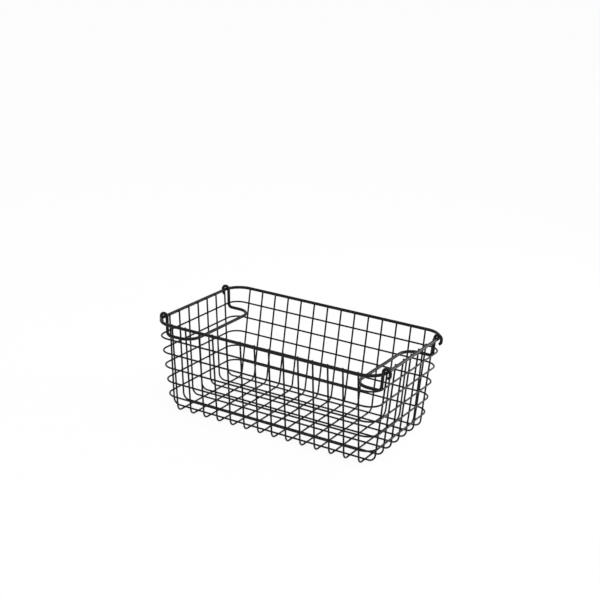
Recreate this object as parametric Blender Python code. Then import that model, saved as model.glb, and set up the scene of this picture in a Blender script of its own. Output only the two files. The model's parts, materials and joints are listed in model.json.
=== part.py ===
"""Wire display basket: a welded steel mesh basket with a thick rim and two folding bail handles.

Units are metres, +Z is up and +X runs along the basket's length. The basket stands on z = 0 with
its middle over the origin. Every wire is a tube with flat facets, drawn along its centre line.
"""
import math

import bpy
from mathutils import Matrix, Vector

MM = 0.001

# Wire thickness
RIM_DIAMETER = 4.8 * MM
HANDLE_DIAMETER = 4.8 * MM
MESH_DIAMETER = 2.6 * MM

# Gaps
WELD_GAP = 0.3 * MM       # between wires that lie on each other
HINGE_GAP = 0.75 * MM     # between the rim and the hooks that turn on it
REST_GAP = 0.3 * MM       # between a folded handle and the ring that stops it

# Rim, between wire centres
RIM_LENGTH = 391 * MM
RIM_WIDTH = 229 * MM
RIM_HEIGHT = 151 * MM
RIM_CORNER = 30.5 * MM
TIP_RISE = 1.6 * MM       # how far the uprights' tips stand above the rim's centre

# Walls and floor
SIDE_LEAN = math.radians(7.2)
END_LEAN = math.radians(4.3)
FLOOR_BEND = 11 * MM
CROSS_COUNT = 14
LONG_COUNT = 7
CROSS_INSET = 2 * MM      # from the outermost crosswise wire to the nearest bend in a rim or ring
LONG_INSET = 0.2 * MM     # the same for the lengthwise wires

# Rings round the walls
RING_COUNT = 5
LOWEST_RING = 26.2 * MM
RING_CORNER = 20.5 * MM

# Handles
HOOK_SPACING = 9.5 * MM   # from the outermost end upright to the hook beside it
HANDLE_DROP = 29.5 * MM   # from the hinge axis down to the folded grip
HANDLE_REACH = 52 * MM    # from the hinge axis in to the grip
DROP_BEND = 6 * MM
GRIP_CORNER = 24 * MM
TAIL_DROP = 3.5 * MM      # straight stretch of a hook's tail
TAIL_CURL = 5 * MM
TAIL_TURN = math.radians(70)

# Facets
THICK_SIDES = 12
MESH_SIDES = 8
BEND_STEP = math.radians(15)
RIM_STEP = math.radians(9)
GRIP_STEP = math.radians(18)
HOOK_STEP = math.radians(20)

# Derived sizes
RIM_RADIUS = RIM_DIAMETER / 2
HANDLE_RADIUS = HANDLE_DIAMETER / 2
MESH_RADIUS = MESH_DIAMETER / 2


def half_flat(radius, sides):
    """Distance from a tube's centre to the middle of one of its facets."""
    return radius * math.cos(math.pi / sides)


RIM_FLAT = half_flat(RIM_RADIUS, THICK_SIDES)
HANDLE_FLAT = half_flat(HANDLE_RADIUS, THICK_SIDES)
MESH_FLAT = half_flat(MESH_RADIUS, MESH_SIDES)

MESH_STACK = 2 * MESH_FLAT + WELD_GAP
RIM_STACK = RIM_FLAT + MESH_FLAT + WELD_GAP
HOOK_RADIUS = RIM_RADIUS + HINGE_GAP + HANDLE_RADIUS

# How far a hook's middle may ride past the start of the rim's corner bend, until the bend has taken
# up half of the hinge gap at the hook's outer side
HOOK_OVERRUN = math.sqrt(RIM_CORNER * HINGE_GAP) - HANDLE_RADIUS

CROSS_FLOOR = MESH_FLAT
LONG_FLOOR = CROSS_FLOOR + MESH_STACK
TIP_HEIGHT = RIM_HEIGHT + TIP_RISE


def side_wall(height):
    """Distance from the middle to the centre of a front or back upright."""
    at_rim = RIM_WIDTH / 2 - RIM_STACK / math.cos(SIDE_LEAN)
    return at_rim - (RIM_HEIGHT - height) * math.tan(SIDE_LEAN)


def end_wall(height):
    """Distance from the middle to the centre of an end upright."""
    at_rim = RIM_LENGTH / 2 - RIM_STACK / math.cos(END_LEAN)
    return at_rim - (RIM_HEIGHT - height) * math.tan(END_LEAN)


def ring_half_length(height):
    return end_wall(height) + MESH_STACK / math.cos(END_LEAN)


def ring_half_width(height):
    return side_wall(height) + MESH_STACK / math.cos(SIDE_LEAN)


def even_places(count, half_run):
    """Evenly spaced places, centred on zero, from one end of a run to the other."""
    return [half_run * (2 * index / (count - 1) - 1) for index in range(count)]


RING_PITCH = (RIM_HEIGHT - LOWEST_RING) / RING_COUNT
RING_HEIGHTS = [RIM_HEIGHT - RING_PITCH * (index + 1) for index in range(RING_COUNT)]

CROSS_RUN = min(
    RIM_LENGTH / 2 - RIM_CORNER - CROSS_INSET,
    ring_half_length(LOWEST_RING) - RING_CORNER - CROSS_INSET,
    end_wall(LONG_FLOOR) - FLOOR_BEND - CROSS_INSET,
)
LONG_RUN = min(
    RIM_WIDTH / 2 - RIM_CORNER + HOOK_OVERRUN - HOOK_SPACING,
    ring_half_width(LOWEST_RING) - RING_CORNER - LONG_INSET,
    side_wall(CROSS_FLOOR) - FLOOR_BEND - LONG_INSET,
)
CROSS_PLACES = even_places(CROSS_COUNT, CROSS_RUN)
LONG_PLACES = even_places(LONG_COUNT, LONG_RUN)
HOOK_PLACE = LONG_PLACES[-1] + HOOK_SPACING


def bend(before, corner, after, radius, step):
    """Points of the arc that rounds a corner, from one tangent point to the other."""
    back = (before - corner).normalized()
    ahead = (after - corner).normalized()
    turn = math.pi - back.angle(ahead)
    start = corner + back * radius * math.tan(turn / 2)
    centre = corner + (back + ahead).normalized() * radius / math.cos(turn / 2)
    axis = back.cross(ahead)
    count = max(1, math.ceil(turn / step))
    spoke = start - centre
    return [centre + Matrix.Rotation(-turn * index / count, 3, axis) @ spoke for index in range(count + 1)]


def open_path(corners, radii, step):
    """Centre line through corner points, with each inner corner rounded."""
    points = [corners[0]]
    for index, radius in enumerate(radii, start=1):
        points += bend(corners[index - 1], corners[index], corners[index + 1], radius, step)
    return points + [corners[-1]]


def rectangle_path(half_length, half_width, height, radius, step):
    """Closed centre line of a level rectangle with round corners."""
    signs = [(1, 1), (-1, 1), (-1, -1), (1, -1)]
    corners = [Vector((sx * half_length, sy * half_width, height)) for sx, sy in signs]
    points = []
    for index, corner in enumerate(corners):
        after = corners[(index + 1) % len(corners)]
        points += bend(corners[index - 1], corner, after, radius, step)
    return points


def coating(name, colour, roughness):
    """Dark powder coat on steel wire."""
    material = bpy.data.materials.new(name)
    material.use_nodes = True
    shader = material.node_tree.nodes["Principled BSDF"]
    shader.inputs["Base Color"].default_value = (*colour, 1)
    shader.inputs["Roughness"].default_value = roughness
    shader.inputs["Metallic"].default_value = 0
    return material


COAT_COLOUR = (0.018, 0.018, 0.02)
COAT_ROUGHNESS = 0.42


def wire(name, points, radius, sides, closed=False):
    """A tube along the points, as an object of its own with its own coating."""
    curve = bpy.data.curves.new(name, "CURVE")
    curve.dimensions = "3D"
    curve.twist_mode = "MINIMUM"
    curve.bevel_depth = radius
    curve.bevel_resolution = sides // 2 - 2
    curve.use_fill_caps = not closed
    spline = curve.splines.new("POLY")
    spline.points.add(len(points) - 1)
    for place, point in zip(points, spline.points):
        point.co = (*place, 1)
        point.tilt = math.pi / sides
    spline.use_cyclic_u = closed
    spline.use_smooth = True
    curve.materials.append(coating(name + "_coat", COAT_COLOUR, COAT_ROUGHNESS))
    tube = bpy.data.objects.new(name, curve)
    bpy.context.scene.collection.objects.link(tube)
    return tube


def make_rim():
    points = rectangle_path(RIM_LENGTH / 2, RIM_WIDTH / 2, RIM_HEIGHT, RIM_CORNER, RIM_STEP)
    wire("rim", points, RIM_RADIUS, THICK_SIDES, closed=True)


def make_rings():
    """Level rings outside the uprights, numbered from the top down."""
    for number, height in enumerate(RING_HEIGHTS, start=1):
        length = ring_half_length(height)
        width = ring_half_width(height)
        points = rectangle_path(length, width, height, RING_CORNER, BEND_STEP)
        wire(f"ring_{number}", points, MESH_RADIUS, MESH_SIDES, closed=True)


def make_cross_wires():
    """U-shaped wires from the front rim across the floor to the back rim, left to right."""
    for number, place in enumerate(CROSS_PLACES, start=1):
        tip = side_wall(TIP_HEIGHT)
        foot = side_wall(CROSS_FLOOR)
        outline = [(-tip, TIP_HEIGHT), (-foot, CROSS_FLOOR), (foot, CROSS_FLOOR), (tip, TIP_HEIGHT)]
        corners = [Vector((place, across, height)) for across, height in outline]
        points = open_path(corners, [FLOOR_BEND, FLOOR_BEND], BEND_STEP)
        wire(f"cross_wire_{number:02d}", points, MESH_RADIUS, MESH_SIDES)


def make_long_wires():
    """U-shaped wires from the left rim along the floor to the right rim, front to back."""
    for number, place in enumerate(LONG_PLACES, start=1):
        tip = end_wall(TIP_HEIGHT)
        foot = end_wall(LONG_FLOOR)
        outline = [(-tip, TIP_HEIGHT), (-foot, LONG_FLOOR), (foot, LONG_FLOOR), (tip, TIP_HEIGHT)]
        corners = [Vector((along, place, height)) for along, height in outline]
        points = open_path(corners, [FLOOR_BEND, FLOOR_BEND], BEND_STEP)
        wire(f"long_wire_{number}", points, MESH_RADIUS, MESH_SIDES)


def handle_lean():
    """Angle at which a handle's drops lean in, so that they clear the top ring when folded."""
    stop = ring_half_length(RING_HEIGHTS[0]) - MESH_FLAT - REST_GAP - HANDLE_FLAT
    inset = RIM_LENGTH / 2 - stop
    span = math.hypot(inset, RING_PITCH)
    return math.acos(HOOK_RADIUS / span) - math.atan2(RING_PITCH, inset)


def hook_path(lean):
    """Hook round the rim, from the tail's tip to the start of the drop, as (inward, up) pairs."""
    curl_count = math.ceil(TAIL_TURN / HOOK_STEP)
    path = []
    for index in range(curl_count + 1):
        angle = TAIL_TURN * (1 - index / curl_count)
        inward = TAIL_CURL - HOOK_RADIUS - TAIL_CURL * math.cos(angle)
        path.append((inward, -TAIL_DROP - TAIL_CURL * math.sin(angle)))
    top_turn = math.pi - lean
    top_count = math.ceil(top_turn / HOOK_STEP)
    for index in range(top_count + 1):
        angle = math.pi - top_turn * index / top_count
        path.append((HOOK_RADIUS * math.cos(angle), HOOK_RADIUS * math.sin(angle)))
    return path


def handle_path():
    """Centre line of a folded bail, about its hinge axis, with +X pointing into the basket."""
    lean = handle_lean()
    hook = hook_path(lean)
    drop_start = hook[-1]
    drop_height = drop_start[1] + HANDLE_DROP
    drop_foot = drop_start[0] + drop_height * math.tan(lean)

    def at(inward, across, height):
        return Vector((inward, across, height))

    near_hook = [at(inward, HOOK_PLACE, height) for inward, height in hook]
    far_hook = [at(inward, -HOOK_PLACE, height) for inward, height in reversed(hook)]
    corners = [
        near_hook[-1],
        at(drop_foot, HOOK_PLACE, -HANDLE_DROP),
        at(HANDLE_REACH, HOOK_PLACE, -HANDLE_DROP),
        at(HANDLE_REACH, -HOOK_PLACE, -HANDLE_DROP),
        at(drop_foot, -HOOK_PLACE, -HANDLE_DROP),
        far_hook[0],
    ]
    radii = [DROP_BEND, GRIP_CORNER, GRIP_CORNER, DROP_BEND]
    return near_hook[:-1] + open_path(corners, radii, GRIP_STEP) + far_hook[1:]


def make_handles():
    """Two bails, each with its origin on its hinge axis, which is the rim's end wire."""
    left = wire("handle_left", handle_path(), HANDLE_RADIUS, THICK_SIDES)
    left.location = (-RIM_LENGTH / 2, 0, RIM_HEIGHT)
    right = wire("handle_right", handle_path(), HANDLE_RADIUS, THICK_SIDES)
    right.location = (RIM_LENGTH / 2, 0, RIM_HEIGHT)
    right.rotation_euler = (0, 0, math.pi)


def main():
    for thing in list(bpy.data.objects):
        bpy.data.objects.remove(thing, do_unlink=True)
    make_rim()
    make_rings()
    make_cross_wires()
    make_long_wires()
    make_handles()


main()
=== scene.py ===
"""Looks of the wire display basket: round powder-coated wires and their welds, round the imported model."""

import json
import math
import random

import bmesh
import bpy
from mathutils import Matrix, Vector


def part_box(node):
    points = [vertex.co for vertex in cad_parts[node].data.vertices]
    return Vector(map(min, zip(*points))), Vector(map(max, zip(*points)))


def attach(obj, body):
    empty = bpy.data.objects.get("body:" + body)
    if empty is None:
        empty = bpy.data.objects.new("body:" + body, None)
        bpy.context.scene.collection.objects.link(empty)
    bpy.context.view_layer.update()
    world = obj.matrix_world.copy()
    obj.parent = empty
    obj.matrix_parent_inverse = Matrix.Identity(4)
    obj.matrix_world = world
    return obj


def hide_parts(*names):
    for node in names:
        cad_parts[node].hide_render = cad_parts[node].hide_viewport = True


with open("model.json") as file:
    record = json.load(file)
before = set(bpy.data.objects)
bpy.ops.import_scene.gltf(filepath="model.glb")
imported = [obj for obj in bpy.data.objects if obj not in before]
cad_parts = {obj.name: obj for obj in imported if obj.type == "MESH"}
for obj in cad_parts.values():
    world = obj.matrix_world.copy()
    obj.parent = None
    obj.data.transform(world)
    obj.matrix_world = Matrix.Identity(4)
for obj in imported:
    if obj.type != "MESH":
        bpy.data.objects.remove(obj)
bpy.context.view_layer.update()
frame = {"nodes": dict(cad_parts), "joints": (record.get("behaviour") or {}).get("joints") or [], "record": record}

MM = 0.001

# Wire sizes, as in the model, whose tubes have flat facets
THICK_RADIUS = 2.4 * MM
MESH_RADIUS = 1.3 * MM
THICK_FACETS = 12
MESH_FACETS = 8
WELD_GAP = 0.3 * MM       # between wires that lie on each other
REST_GAP = 0.3 * MM       # between a folded handle and the ring that stops it
HINGE_GAP = 0.75 * MM     # between the rim and the hooks that turn on it
COAT_FILM = 0.1 * MM      # powder coat on the bare wire

# Wire shapes
SIDE_LEAN = math.radians(7.2)
END_LEAN = math.radians(4.3)
RIM_CORNER = 30.5 * MM
RING_CORNER = 20.5 * MM
FLOOR_BEND = 11 * MM
DROP_BEND = 6 * MM
GRIP_CORNER = 24 * MM
TAIL_DROP = 3.5 * MM
TAIL_CURL = 5 * MM
TAIL_TURN = math.radians(70)

# Fineness of the round tubes
THICK_SIDES = 28
MESH_SIDES = 18
BEND_STEP = math.radians(6)
END_ROUNDING = 0.45 * MM
ROUNDING_STEPS = 4

# Weld beads
BEAD_SPREAD = 1.4 * MM
BEAD_DEPTH = 0.85 * MM
RIM_BEAD_SPREAD = 1.8 * MM
BEAD_VARIATION = 0.12
BEAD_SEGMENTS = 14
BEAD_RINGS = 8
BEAD_SEED = 7

# Camera, fitted to the photograph
CAMERA_AZIMUTH = math.radians(29.921)
CAMERA_ELEVATION = math.radians(18.733)
CAMERA_ROLL = math.radians(2.528)
CAMERA_AIM = Vector((-18.71, 29.93, 184.03)) * MM
CAMERA_DISTANCE = 1965.4 * MM
CAMERA_LENS = 75.298      # in millimetres, as the sensor's width
SENSOR_WIDTH = 36

# Powder coat: two tones, and the least and most roughness
COAT_TONES = ((0.0030, 0.0029, 0.0028, 1), (0.0055, 0.0053, 0.0050, 1))
COAT_ROUGHNESS = (0.36, 0.46)
COAT_SHINE = 0.15
PEEL_DEPTH = 0.06 * MM
PEEL_STRENGTH = 0.12

# Scale and detail of the noise behind the coat's tone, gloss and peel, and where in it each coat starts
TONE_NOISE = (90, 3)
SHEEN_NOISE = (260, 2)
PEEL_NOISE = (1400, 2)
NOISE_REACH = (0.3, 0.7)  # where most of a noise lies
RIM_START = 3.1
MESH_START = 5.7
HANDLE_START = 8.3

# Studio
WHITE = (1, 1, 1, 1)
WORLD_LEVEL = 0.8
FLOOR_WHITE = 0.9         # share of plain white in what the eye sees of the floor
FLOOR_COLOUR = (0.95, 0.95, 0.95, 1)
FLOOR_SIZE = 60
LIGHTS = {
    "key": {"place": (0.9, -1.2, 2.6), "size": 2.0, "power": 22},
    "side": {"place": (0.62, 0.74, 0.36), "size": 0.4, "power": 5},
}

draw = random.Random(BEAD_SEED)


def flat(radius, facets):
    """Distance from the centre of a model tube to the middle of a facet."""
    return radius * math.cos(math.pi / facets)


MESH_FLAT = flat(MESH_RADIUS, MESH_FACETS)
THICK_FLAT = flat(THICK_RADIUS, THICK_FACETS)


def named(prefix):
    return sorted(name for name in frame["nodes"] if name.startswith(prefix))


RINGS = named("ring_")
CROSS_WIRES = named("cross_wire_")
LONG_WIRES = named("long_wire_")


def middle(node):
    low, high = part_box(node)
    return (low + high) / 2


def half(node, thickness):
    """Half the size of a node's box, measured between wire centres."""
    low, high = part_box(node)
    return (high - low) / 2 - Vector((thickness, thickness, thickness))


def bend(before, corner, after, radius):
    """Points of the arc that rounds a corner, from one tangent point to the other."""
    back = (before - corner).normalized()
    ahead = (after - corner).normalized()
    turn = math.pi - back.angle(ahead)
    start = corner + back * radius * math.tan(turn / 2)
    centre = corner + (back + ahead).normalized() * radius / math.cos(turn / 2)
    axis = back.cross(ahead)
    count = max(1, math.ceil(turn / BEND_STEP))
    spoke = start - centre
    return [centre + Matrix.Rotation(-turn * index / count, 3, axis) @ spoke for index in range(count + 1)]


def open_path(corners, radii):
    """Centre line through corner points, with each inner corner rounded."""
    points = [corners[0]]
    for index, radius in enumerate(radii, start=1):
        points += bend(corners[index - 1], corners[index], corners[index + 1], radius)
    return points + [corners[-1]]


def rectangle_path(half_size, height, radius):
    """Closed centre line of a level rectangle with round corners."""
    signs = [(1, 1), (-1, 1), (-1, -1), (1, -1)]
    corners = [Vector((sx * half_size.x, sy * half_size.y, height)) for sx, sy in signs]
    points = []
    for index, corner in enumerate(corners):
        points += bend(corners[index - 1], corner, corners[(index + 1) % len(corners)], radius)
    return points


def rounded_ends(points):
    """For each end of a line, its index and the steps that round it: places and how much thinner."""
    for end, neighbour in ((0, 1), (-1, -2)):
        tip = points[end]
        inward = (points[neighbour] - tip).normalized()
        steps = []
        for index in range(ROUNDING_STEPS + 1):
            angle = math.pi / 2 * index / ROUNDING_STEPS
            depth = END_ROUNDING * (1 - math.sin(angle))
            steps.append((tip + inward * depth, END_ROUNDING * (1 - math.cos(angle))))
        yield end, steps


def tube(name, points, wire_radius, sides, closed, material):
    """A round coated tube along the points, with rounded ends if it is open."""
    radius = wire_radius + COAT_FILM
    stations = [(point, radius) for point in points]
    if not closed:
        for end, steps in rounded_ends(points):
            cut = [(place, radius - less) for place, less in steps]
            if end == 0:
                stations = cut[::-1] + stations[1:]
            else:
                stations = stations[:-1] + cut
    return sweep(name, stations, sides, closed, material)


def sweep(name, stations, sides, closed, material):
    """Skin round the stations, each a place and a radius, carried along without twist."""
    places = [place for place, _ in stations]
    count = len(places)
    mesh = bmesh.new()
    rows = []
    side = None
    for index, (place, radius) in enumerate(stations):
        before = places[index - 1] if closed or index > 0 else places[0]
        after = places[(index + 1) % count] if closed or index < count - 1 else places[-1]
        ahead = (after - before).normalized()
        if side is None:
            side = ahead.orthogonal().normalized()
        side = (side - ahead * side.dot(ahead)).normalized()
        other = ahead.cross(side)
        row = []
        for turn in range(sides):
            angle = 2 * math.pi * turn / sides
            row.append(mesh.verts.new(place + radius * (side * math.cos(angle) + other * math.sin(angle))))
        rows.append(row)
    shift = 0
    if closed:
        gaps = [(rows[0][k].co - rows[-1][0].co).length for k in range(sides)]
        shift = gaps.index(min(gaps))
    for index in range(count if closed else count - 1):
        last = index == count - 1
        near, far = rows[index], rows[(index + 1) % count]
        turned = shift if last else 0
        for k in range(sides):
            mesh.faces.new((
                near[k],
                near[(k + 1) % sides],
                far[(k + 1 + turned) % sides],
                far[(k + turned) % sides],
            ))
    if not closed:
        mesh.faces.new(rows[0][::-1])
        mesh.faces.new(rows[-1])
    return finished(name, mesh, material)


def finished(name, mesh, material):
    """An object of the mesh, with smooth shading and its material."""
    data = bpy.data.meshes.new(name)
    bmesh.ops.recalc_face_normals(mesh, faces=mesh.faces[:])
    mesh.to_mesh(data)
    mesh.free()
    data.shade_smooth()
    data.materials.append(material)
    piece = bpy.data.objects.new(name, data)
    bpy.context.scene.collection.objects.link(piece)
    return piece


def coat(name, start):
    """Satin powder coat: near black, with a fine orange-peel surface and slightly uneven gloss."""
    material = bpy.data.materials.new(name)
    material.use_nodes = True
    nodes, links = material.node_tree.nodes, material.node_tree.links
    shader = nodes["Principled BSDF"]
    shader.inputs["Metallic"].default_value = 0
    shader.inputs["Specular IOR Level"].default_value = COAT_SHINE
    place = nodes.new("ShaderNodeTexCoord")
    shifted = nodes.new("ShaderNodeMapping")
    shifted.inputs["Location"].default_value = (start, start / 2, -start)
    links.new(place.outputs["Object"], shifted.inputs["Vector"])

    def noise(scale, detail):
        node = nodes.new("ShaderNodeTexNoise")
        node.inputs["Scale"].default_value = scale
        node.inputs["Detail"].default_value = detail
        links.new(shifted.outputs["Vector"], node.inputs["Vector"])
        return node.outputs["Fac"]

    def spread(value, low, high):
        node = nodes.new("ShaderNodeMapRange")
        node.inputs["From Min"].default_value, node.inputs["From Max"].default_value = NOISE_REACH
        node.inputs["To Min"].default_value = low
        node.inputs["To Max"].default_value = high
        links.new(value, node.inputs["Value"])
        return node.outputs["Result"]

    tone = nodes.new("ShaderNodeMix")
    tone.data_type = "RGBA"
    tone.inputs["A"].default_value, tone.inputs["B"].default_value = COAT_TONES
    links.new(spread(noise(*TONE_NOISE), 0, 1), tone.inputs["Factor"])
    links.new(tone.outputs["Result"], shader.inputs["Base Color"])
    links.new(spread(noise(*SHEEN_NOISE), *COAT_ROUGHNESS), shader.inputs["Roughness"])
    peel = nodes.new("ShaderNodeBump")
    peel.inputs["Strength"].default_value = PEEL_STRENGTH
    peel.inputs["Distance"].default_value = PEEL_DEPTH
    links.new(noise(*PEEL_NOISE), peel.inputs["Height"])
    links.new(peel.outputs["Normal"], shader.inputs["Normal"])
    return material


def dress(piece, body, slot, *nodes):
    """Puts a piece on its body, in place of the model's nodes if any are given; its slot argument is not used."""
    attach(piece, body)
    if nodes:
        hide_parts(*nodes)
    return piece


def make_rim(material):
    centre = middle("rim")
    points = rectangle_path(half("rim", THICK_FLAT), centre.z, RIM_CORNER)
    dress(tube("rim_round", points, THICK_RADIUS, THICK_SIDES, True, material), "basket", "rim_coat", "rim")


def make_rings(material):
    for node in RINGS:
        points = rectangle_path(half(node, MESH_FLAT), middle(node).z, RING_CORNER)
        piece = tube(node + "_round", points, MESH_RADIUS, MESH_SIDES, True, material)
        dress(piece, "basket", "mesh_coat", node)


def wall_line(node, lean, across):
    """Corner points of a U-shaped wire, from its box: both tips and both feet."""
    low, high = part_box(node)
    tip_height = high.z - MESH_FLAT * math.sin(lean)
    tip = (high[across] - low[across]) / 2 - MESH_FLAT * math.cos(lean)
    floor = low.z + MESH_FLAT
    foot = tip - (tip_height - floor) * math.tan(lean)
    corners = []
    for out, height in ((-tip, tip_height), (-foot, floor), (foot, floor), (tip, tip_height)):
        corner = middle(node)
        corner[across] = out
        corner.z = height
        corners.append(corner)
    return corners


def make_uprights(material):
    for nodes, lean, across in ((CROSS_WIRES, SIDE_LEAN, 1), (LONG_WIRES, END_LEAN, 0)):
        for node in nodes:
            points = open_path(wall_line(node, lean, across), [FLOOR_BEND, FLOOR_BEND])
            piece = tube(node + "_round", points, MESH_RADIUS, MESH_SIDES, False, material)
            dress(piece, "basket", "mesh_coat", node)


def handle_path(node):
    """Centre line of a folded handle about its hinge axis, with +X pointing into the basket."""
    low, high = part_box(node)
    rim = half("rim", THICK_FLAT)
    rim_height = middle("rim").z
    hook = 2 * THICK_RADIUS + HINGE_GAP
    reach = rim.x - min(abs(low.x), abs(high.x)) - THICK_FLAT
    drop = rim_height - low.z - THICK_FLAT
    across = (high.y - low.y) / 2 - THICK_FLAT
    inset = rim.x - half(RINGS[0], 0).x + 2 * MESH_FLAT + REST_GAP + THICK_FLAT
    rise = rim_height - middle(RINGS[0]).z
    lean = math.acos(hook / math.hypot(inset, rise)) - math.atan2(rise, inset)
    profile = []
    tail_count = math.ceil(TAIL_TURN / BEND_STEP)
    for index in range(tail_count + 1):
        angle = TAIL_TURN * (1 - index / tail_count)
        inward = TAIL_CURL - hook - TAIL_CURL * math.cos(angle)
        profile.append((inward, -TAIL_DROP - TAIL_CURL * math.sin(angle)))
    top_turn = math.pi - lean
    top_count = math.ceil(top_turn / BEND_STEP)
    for index in range(top_count + 1):
        angle = math.pi - top_turn * index / top_count
        profile.append((hook * math.cos(angle), hook * math.sin(angle)))
    foot = profile[-1][0] + (profile[-1][1] + drop) * math.tan(lean)
    near = [Vector((inward, across, height)) for inward, height in profile]
    far = [Vector((inward, -across, height)) for inward, height in reversed(profile)]
    corners = [
        near[-1],
        Vector((foot, across, -drop)),
        Vector((reach, across, -drop)),
        Vector((reach, -across, -drop)),
        Vector((foot, -across, -drop)),
        far[0],
    ]
    radii = [DROP_BEND, GRIP_CORNER, GRIP_CORNER, DROP_BEND]
    return near[:-1] + open_path(corners, radii) + far[1:]


def make_handles(material):
    for joint in frame["joints"]:
        body = joint["child"]
        node = frame["record"]["behaviour"]["bodies"][body][0]
        hinge = Vector(joint["pos_m"])
        turn = math.pi if hinge.x > 0 else 0
        place = Matrix.Translation(hinge) @ Matrix.Rotation(turn, 4, "Z")
        points = [place @ point for point in handle_path(node)]
        piece = tube(node + "_round", points, THICK_RADIUS, THICK_SIDES, False, material)
        dress(piece, body, "handle_coat", node)


def bead(mesh, centre, normal, spread, depth):
    """A flattened drop of weld metal between two crossing wires."""
    size = 1 + draw.uniform(-BEAD_VARIATION, BEAD_VARIATION)
    turn = normal.to_track_quat("Z", "Y").to_matrix().to_4x4()
    shape = Matrix.Diagonal((spread * size, spread * size, depth, 1))
    place = Matrix.Translation(centre) @ turn @ shape
    bmesh.ops.create_uvsphere(mesh, u_segments=BEAD_SEGMENTS, v_segments=BEAD_RINGS, radius=1, matrix=place)


def make_welds(material):
    """Beads where the uprights cross the floor wires, the rings and the rim."""
    stack = 2 * MESH_FLAT + WELD_GAP
    floor = bmesh.new()
    for cross in CROSS_WIRES:
        for along in LONG_WIRES:
            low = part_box(cross)[0].z + MESH_FLAT
            centre = Vector((middle(cross).x, middle(along).y, low + stack / 2))
            bead(floor, centre, Vector((0, 0, 1)), BEAD_SPREAD, BEAD_DEPTH)
    dress(finished("floor_welds", floor, material), "basket", "mesh_coat")
    walls = []
    for nodes, lean, across in ((CROSS_WIRES, SIDE_LEAN, 1), (LONG_WIRES, END_LEAN, 0)):
        for node in nodes:
            for sign in (-1, 1):
                normal = Vector((0, 0, -math.sin(lean)))
                normal[across] = sign * math.cos(lean)
                walls.append((middle(node), across, sign, normal))
    for node in RINGS:
        mesh = bmesh.new()
        outer = half(node, MESH_FLAT)
        for centre, across, sign, normal in walls:
            centre = centre.copy()
            centre[across] = sign * outer[across]
            centre.z = middle(node).z
            bead(mesh, centre - normal * stack / 2, normal, BEAD_SPREAD, BEAD_DEPTH)
        dress(finished(node + "_welds", mesh, material), "basket", "mesh_coat")
    mesh = bmesh.new()
    outer = half("rim", THICK_FLAT)
    for centre, across, sign, normal in walls:
        centre = centre.copy()
        centre[across] = sign * outer[across]
        centre.z = middle("rim").z
        bead(mesh, centre - normal * (THICK_RADIUS + WELD_GAP / 2), normal, RIM_BEAD_SPREAD, BEAD_DEPTH)
    dress(finished("rim_welds", mesh, material), "basket", "rim_coat")


def make_camera():
    data = bpy.data.cameras.new("camera")
    data.lens = CAMERA_LENS
    data.sensor_width = SENSOR_WIDTH
    camera = bpy.data.objects.new("camera", data)
    bpy.context.scene.collection.objects.link(camera)
    back = Vector((
        math.sin(CAMERA_AZIMUTH) * math.cos(CAMERA_ELEVATION),
        -math.cos(CAMERA_AZIMUTH) * math.cos(CAMERA_ELEVATION),
        math.sin(CAMERA_ELEVATION),
    ))
    turn = back.to_track_quat("Z", "Y").to_matrix().to_4x4()
    roll = Matrix.Rotation(CAMERA_ROLL, 4, "Z")
    camera.matrix_world = Matrix.Translation(CAMERA_AIM + back * CAMERA_DISTANCE) @ turn @ roll
    bpy.context.scene.camera = camera


def white_to_eye(nodes, links):
    """1 where a ray comes from the camera or off a shiny or clear surface, else 0."""
    path = nodes.new("ShaderNodeLightPath")
    most = path.outputs["Is Camera Ray"]
    for name in ("Is Glossy Ray", "Is Transmission Ray"):
        larger = nodes.new("ShaderNodeMath")
        larger.operation = "MAXIMUM"
        links.new(most, larger.inputs[0])
        links.new(path.outputs[name], larger.inputs[1])
        most = larger.outputs["Value"]
    return most


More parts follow.
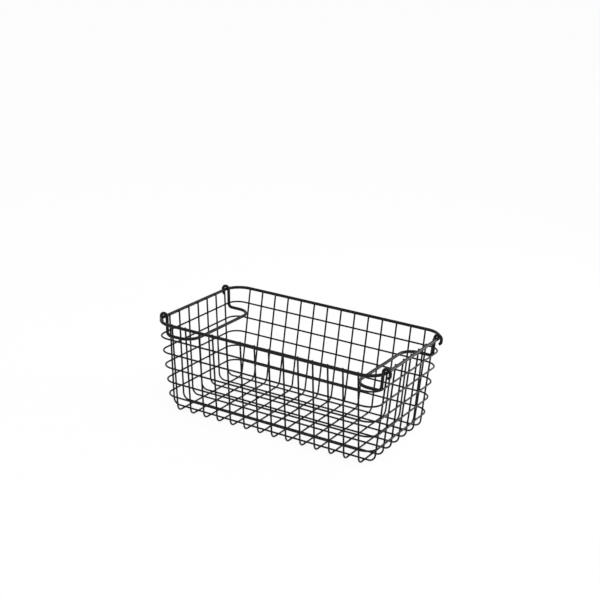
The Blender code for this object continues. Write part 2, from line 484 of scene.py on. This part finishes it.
def make_world():
    world = bpy.data.worlds.new("studio")
    bpy.context.scene.world = world
    world.use_nodes = True
    nodes, links = world.node_tree.nodes, world.node_tree.links
    light = nodes["Background"]
    light.inputs["Color"].default_value = WHITE
    light.inputs["Strength"].default_value = WORLD_LEVEL
    white = nodes.new("ShaderNodeBackground")
    white.inputs["Color"].default_value = WHITE
    white.inputs["Strength"].default_value = 1
    mix = nodes.new("ShaderNodeMixShader")
    links.new(white_to_eye(nodes, links), mix.inputs["Fac"])
    links.new(light.outputs["Background"], mix.inputs[1])
    links.new(white.outputs["Background"], mix.inputs[2])
    links.new(mix.outputs["Shader"], nodes["World Output"].inputs["Surface"])


def make_floor():
    """A pale floor under the coated wires, which keeps a soft shadow."""
    mesh = bmesh.new()
    bmesh.ops.create_grid(mesh, x_segments=1, y_segments=1, size=FLOOR_SIZE / 2)
    material = bpy.data.materials.new("floor")
    material.use_nodes = True
    nodes, links = material.node_tree.nodes, material.node_tree.links
    nodes.remove(nodes["Principled BSDF"])
    matt = nodes.new("ShaderNodeBsdfDiffuse")
    matt.inputs["Color"].default_value = FLOOR_COLOUR
    glow = nodes.new("ShaderNodeEmission")
    glow.inputs["Color"].default_value = WHITE
    glow.inputs["Strength"].default_value = 1
    share = nodes.new("ShaderNodeMath")
    share.operation = "MULTIPLY"
    share.inputs[1].default_value = FLOOR_WHITE
    links.new(white_to_eye(nodes, links), share.inputs[0])
    mix = nodes.new("ShaderNodeMixShader")
    links.new(share.outputs["Value"], mix.inputs["Fac"])
    links.new(matt.outputs["BSDF"], mix.inputs[1])
    links.new(glow.outputs["Emission"], mix.inputs[2])
    links.new(mix.outputs["Shader"], nodes["Material Output"].inputs["Surface"])
    floor = finished("floor", mesh, material)
    floor.location.z = MESH_FLAT - MESH_RADIUS - COAT_FILM


def make_light(name, place, size, power):
    data = bpy.data.lights.new(name, "AREA")
    data.shape = "DISK"
    data.size = size
    data.energy = power
    lamp = bpy.data.objects.new(name, data)
    bpy.context.scene.collection.objects.link(lamp)
    lamp.location = place
    lamp.rotation_euler = (-Vector(place)).to_track_quat("-Z", "Y").to_euler()


rim_coat = coat("rim_coat_look", RIM_START)
mesh_coat = coat("mesh_coat_look", MESH_START)
handle_coat = coat("handle_coat_look", HANDLE_START)
make_rim(rim_coat)
make_rings(mesh_coat)
make_uprights(mesh_coat)
make_handles(handle_coat)
make_welds(mesh_coat)
make_camera()
make_world()
make_floor()
for name, light in LIGHTS.items():
    make_light(name, **light)
bpy.context.scene.view_settings.view_transform = "Standard"
